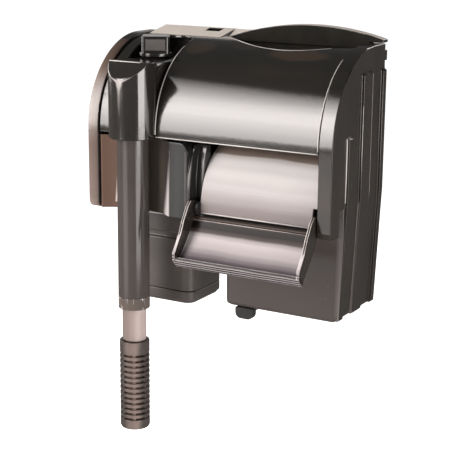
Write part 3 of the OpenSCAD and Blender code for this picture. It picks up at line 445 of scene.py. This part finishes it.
# painted shade on the back wall of the pocket behind the grip
region(DONE["lid"], "dark_line", lambda c, n: -0.0462 < c.x < -0.0343 and 0.0648 < c.y < 0.0717 and 0.1028 < c.z < 0.1072 and (abs(n.z) < 0.5 or c.z < 0.1032))

# ------------------------------------------------------------------ beads along the edges: pale ones are painted highlights of rounded edges, a dark one is a painted shadow line
def bead(name, pts, r, slot, node, r_end=None, seg=8):
    """Round bead swept along points in millimetres; r may run to r_end."""
    P = [Vector(p)/1000.0 for p in pts]
    bm = bmesh.new(); rings = []
    up = None
    for i, p in enumerate(P):
        t = (P[min(i+1, len(P)-1)] - P[max(i-1, 0)]).normalized()
        if up is None: up = t.orthogonal().normalized()
        up = (up - t*up.dot(t)).normalized()
        w = t.cross(up)
        k = i/(len(P)-1)
        rr = (r + ((r if r_end is None else r_end) - r)*k)/1000.0
        rings.append([bm.verts.new(p + (up*math.cos(a) + w*math.sin(a))*rr) for a in (2*math.pi*j/seg for j in range(seg))])
    for a, b in zip(rings, rings[1:]):
        for j in range(seg): bm.faces.new((a[j], a[(j+1) % seg], b[(j+1) % seg], b[j]))
    bm.faces.new(rings[0][::-1]); bm.faces.new(rings[-1])
    bmesh.ops.recalc_face_normals(bm, faces=bm.faces)
    for f in bm.faces: f.smooth = True
    me = bpy.data.meshes.new(name); bm.to_mesh(me); bm.free()
    ob = bpy.data.objects.new(name, me); scene.collection.objects.link(ob)
    paint(ob, slot)
    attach(ob, BODY[node])
    return ob

def hood_y(z, r=62.0): return 49 - math.sqrt(max(0.0, r*r - (z-40)**2))
def hood_at(x, a, r=62.0): return (x, 49 - r*math.cos(a), 40 + r*math.sin(a))
ang = lambda a0, a1, n: [a0 + (a1-a0)*i/(n-1) for i in range(n)]
bead("hood_left_bead", [hood_at(-39.75, a, 61.85) for a in ang(0.0, 1.19, 30)], 0.46, "edge_highlight_bright", "lid", 0.34)
bead("hood_right_bead", [hood_at(83.75, a, 61.85) for a in ang(0.0, 1.12, 30)], 0.36, "edge_highlight_bright", "lid", 0.4)
bead("hood_right_shadow", [hood_at(84.6, a, 61.95) for a in ang(-0.02, 1.2, 30)], 0.5, "dark_line", "lid")
bead("hood_lower_bead", [(x, -12.85, 38.35) for x in (-39.6, 20, 83.7)], 0.34, "edge_highlight_bright", "lid")
def scoop_pt(x):
    y = 96.2 - math.sqrt(67.2**2 - (x-35)**2)
    return (x, y, 40 + math.sqrt(62.0**2 - (49-min(y, 49))**2) - 0.12)
bead("scoop_front_bead", [scoop_pt(-20 + 88*i/40) for i in range(41)], 0.36, "edge_highlight_bright", "lid", 0.16)
bead("grip_rim_bead", [(x, 61.35, 113.6-195+math.sqrt(195.0**2-(x-42)**2)-0.34) for x in range(-23, 84, 3)], 0.3, "edge_highlight_mid", "lid")
FRONT = [(-15.4, -2.6), (-19.4, -6.6), (-24.4, -14.6), (-28.6, -23.4), (-35.6, -33.6), (-36.25, -35.2), (-36.15, -39.8), (-31.6, -44.85)]
for k, (x, r) in enumerate(((-11.2, 0.26), (-9.75, 0.3), (82.15, 0.3), (83.7, 0.26))):
    bead("spout_cheek_bead_%d" % k, [(x, y+0.22, z-0.05) for y, z in FRONT], r, "edge_highlight_bright", "spout_flap")
bead("spout_hinge_bead", [(x, -12.25, -15.95) for x in (-9.4, 30, 82)], 0.22, "edge_highlight_bright", "spout_flap")
bead("apron_lower_bead", [(x, -8.35, -11.7) for x in (-5.8, 40, 78.5)], 0.42, "edge_highlight_bright", "spillway_apron")
bead("facet_upper_bead", [(-72.2, -19.6, 89.5), (-70, -19.95, 89.55), (-60, -19.95, 89.55), (-47, -19.95, 89.55)], 0.3, "edge_highlight_bright", "intake_elbow")
bead("side_rib_bead_a", [(95.2, 6.7, 47.0), (95.35, 6.8, 44), (95.35, 6.9, 20), (95.2, 7.0, 4)], 0.55, "edge_highlight_bright", "filter_body", 0.2)
bead("side_rib_bead_b", [(96.3, 28.9, 85.2), (96.45, 28.75, 60), (96.45, 28.75, 8)], 0.3, "edge_highlight_bright", "filter_body", 0.2)
bead("side_rib_bead_c", [(96.3, 42.9, 85.2), (96.45, 42.95, 60), (96.45, 42.95, 8)], 0.32, "edge_highlight_mid", "filter_body", 0.2)
bead("side_rib_bead_d", [(96.3, 60.5, 85.2), (96.45, 60.45, 60), (96.45, 60.45, 8)], 0.3, "edge_highlight_mid", "filter_body", 0.2)
bead("frame_top_bead", [(94.7, 36, 102.2), (94.75, 50, 103.2), (94.75, 65.4, 103.3)], 0.3, "edge_highlight_bright", "filter_body")
bead("pump_top_bead", [(-66, 15.35, -22.8), (-50, 15.3, -22.8), (-33, 15.3, -22.9), (-30, 16.2, -23.0)], 0.42, "edge_highlight_bright", "pump_housing")
for k, x in enumerate((-28.3, -15.6)):
    bead("step_bead_%d" % k, [(x, -12.9, -15.8), (x, -12.9, 8), (x, -12.9, 30)], 0.22, "edge_highlight_mid", "front_frame")

# lining inside the strainer
def tube_obj(name, cx, cy, r, ri, z0, z1, slot, node, seg=48):
    bm = bmesh.new()
    R = []
    for rad, z in ((r, z0), (r, z1), (ri, z1), (ri, z0)):
        R.append([bm.verts.new((cx + rad*math.cos(2*math.pi*j/seg), cy + rad*math.sin(2*math.pi*j/seg), z)) for j in range(seg)])
    for i in range(4):
        a, b = R[i], R[(i+1) % 4]
        for j in range(seg): bm.faces.new((a[j], a[(j+1) % seg], b[(j+1) % seg], b[j]))
    bmesh.ops.recalc_face_normals(bm, faces=bm.faces)
    for f in bm.faces: f.smooth = abs(f.normal.z) < 0.5
    me = bpy.data.meshes.new(name); bm.to_mesh(me); bm.free()
    ob = bpy.data.objects.new(name, me); scene.collection.objects.link(ob)
    paint(ob, slot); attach(ob, BODY[node])
    return ob
tube_obj("strainer_lining", -0.0568, -0.015, 0.0071, 0.0068, -0.1708, -0.1183, "mesh_sleeve", "strainer")

# ------------------------------------------------------------------ filter media
def cushion(node, lo, hi, r, cuts, slot, out, rough_amp):
    """Closed foam or felt form: rounded edges, sides pulled in between corners, fuzzy surface; out(p) pushes along Y, all in mm."""
    bm = bmesh.new()
    bmesh.ops.create_cube(bm, size=2.0)
    bmesh.ops.subdivide_edges(bm, edges=bm.edges, cuts=cuts, use_grid_fill=True)
    c = [(a+b)/2 for a, b in zip(lo, hi)]; h = [(b-a)/2 for a, b in zip(lo, hi)]
    for v in bm.verts:
        u = v.co.copy()
        q = Vector([u[i]*h[i] for i in range(3)])
        inner = Vector([max(-(h[i]-r), min(h[i]-r, q[i])) for i in range(3)])
        d = q - inner
        if d.length > 1e-6: q = inner + d.normalized()*r
        # waist: the long sides pull in a little between the corners
        q.x *= 1 - 0.006*(1-u.z*u.z); q.z *= 1 - 0.006*(1-u.x*u.x)
        q.y += out(c[0]+q.x, c[2]+q.z)*u.y
        p = Vector((c[0]+q.x, c[1]+q.y, c[2]+q.z))
        n = mnoise.noise(p*0.9)*0.6 + mnoise.noise(p*2.3)*0.4
        inward = (Vector(c)-p); inward = Vector([inward.x/h[0], inward.y/h[1], inward.z/h[2]]).normalized()
        p += inward*rough_amp*(0.5+0.5*n)
        v.co = p/1000.0
    for f in bm.faces: f.smooth = True
    me = bpy.data.meshes.new(node + "_soft"); bm.to_mesh(me); bm.free()
    ob = bpy.data.objects.new(node + "_soft", me); scene.collection.objects.link(ob)
    paint(ob, slot)
    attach(ob, BODY[node]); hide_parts(node)
    return ob
def windows(x, z):
    """How far felt bulges through the cartridge's windows."""
    best = 0.0
    for x0, x1 in ((15.4, 44.4), (47.8, 76.8)):
        for z0 in (-69, -41, -13):
            if x0+0.4 < x < x1-0.4 and z0+0.4 < z < z0+24.2:
                best = max(best, 0.85*math.sqrt(math.sin(math.pi*(x-x0)/(x1-x0))*math.sin(math.pi*(z-z0)/24.6)))
    return best
soft = {"front_floss_pad": ((13.6, 22.7, -70.8), (78.6, 27.1, 12.4), 1.6, 70, windows, 0.22),
        "rear_floss_pad": ((13.6, 32.3, -70.8), (78.6, 36.7, 12.4), 1.6, 70, windows, 0.22),
        "bio_sponge": ((12.9, 43.1, -69.6), (84.5, 56.7, 2.9), 2.4, 64, lambda x, z: 0.0, 0.5)}
for n, (lo, hi, r, cuts, out, amp) in soft.items():
    ob = cushion(n, lo, hi, r, cuts, SLOT[n], out, amp)

# ------------------------------------------------------------------ stage and light
def mesh_obj(name, verts, faces):
    me = bpy.data.meshes.new(name); me.from_pydata(verts, [], faces); me.update()
    ob = bpy.data.objects.new(name, me); scene.collection.objects.link(ob); return ob
floor = mesh_obj("floor", [(-9, -5, -0.30), (9, -5, -0.30), (9, 12, -0.30), (-9, 12, -0.30)], [(0, 1, 2, 3)])
fm = Mat("floor_pale", 0.9, 1.3)
fm.color(fm.ramp(fm.noise(3.0), [(0.3, (0.86, 0.86, 0.86)), (0.7, (0.9, 0.9, 0.9))]))
fm.b.inputs["Emission Color"].default_value = (1, 1, 1, 1)
fm.b.inputs["Emission Strength"].default_value = 1.0
floor.data.materials.append(fm.m)
floor.visible_glossy = False

w = bpy.data.worlds.new("studio"); scene.world = w; w.use_nodes = True
nt = w.node_tree; bg = nt.nodes["Background"]
bg.inputs[0].default_value = (1, 1, 1, 1); bg.inputs[1].default_value = 0.10
bg2 = nt.nodes.new("ShaderNodeBackground"); bg2.inputs[0].default_value = (1, 1, 1, 1); bg2.inputs[1].default_value = 1.0
lp = nt.nodes.new("ShaderNodeLightPath"); mx = nt.nodes.new("ShaderNodeMixShader")
nt.links.new(lp.outputs["Is Camera Ray"], mx.inputs[0]); nt.links.new(bg.outputs[0], mx.inputs[1]); nt.links.new(bg2.outputs[0], mx.inputs[2])
nt.links.new(mx.outputs[0], nt.nodes["World Output"].inputs[0])

TARGET = Vector((0.02, 0.0, 0.05))
def softbox(name, az, dist, z0, z1, width, radiance, tilt=0.0, color=(1, 0.945, 0.925), hidden=False):
    """Rectangular light standing at azimuth az (degrees from -Y towards +X), facing the object."""
    a = math.radians(az)
    d = Vector((math.sin(a), -math.cos(a), 0))
    L = bpy.data.lights.new(name, 'AREA'); L.shape = 'RECTANGLE'
    L.size, L.size_y = width, (z1-z0)
    L.energy = radiance*math.pi*width*(z1-z0)
    L.color = color
    ob = bpy.data.objects.new(name, L); scene.collection.objects.link(ob)
    ob.location = Vector((TARGET.x, TARGET.y, 0)) + d*dist + Vector((0, 0, (z0+z1)/2))
    look = (Vector((TARGET.x, TARGET.y, (z0+z1)/2)) - ob.location).normalized()
    if tilt: look = (look + Vector((0, 0, math.tan(math.radians(tilt))))).normalized()
    ob.rotation_euler = look.to_track_quat('-Z', 'Y').to_euler()
    if hidden: ob.visible_camera = False
    return ob
for k, (az, z0, z1, wd, rad) in enumerate([(-30, -0.07, 0.08, 0.62, 5.9), (-30, 0.08, 0.20, 0.62, 6.8), (-30, 0.20, 0.33, 0.62, 7.7), (-30, 0.33, 0.47, 0.64, 8.9), (-31, 0.47, 0.80, 0.66, 9.8),
                                            (-34, 0.80, 0.95, 0.74, 8.6), (-36, 0.95, 1.10, 0.8, 6.8), (-39, 1.10, 1.26, 0.88, 5.2), (-41, 1.26, 1.42, 0.92, 3.9), (-44, 1.42, 1.58, 1.0, 2.6), (-47, 1.58, 1.75, 1.0, 1.4)]):
    softbox("key_%d" % k, az, 1.35, z0, z1, wd, rad)
softbox("key_low", -30, 0.72, -0.285, -0.09, 0.42, 1.1)
softbox("key_stem", -30, 0.72, -0.125, -0.085, 0.10, 9.0)
softbox("side", 78, 1.2, -0.19, 0.16, 0.86, 7.4)
softbox("side_low", 66, 0.75, -0.285, -0.12, 0.5, 2.8)
softbox("rim_left", -92, 1.2, -0.05, 0.75, 0.5, 6.0)
# behind the object, seen only as the bright strip along its top
for k, (z0, z1, rad) in enumerate([(-0.25, 0.2, 0.35), (0.2, 0.45, 0.5)]):
    softbox("back_%d" % k, -150, 1.35, z0, z1, 1.1, rad, hidden=True)
softbox("back_fill", 165, 1.4, 0.35, 0.95, 0.9, 2.6, hidden=True)
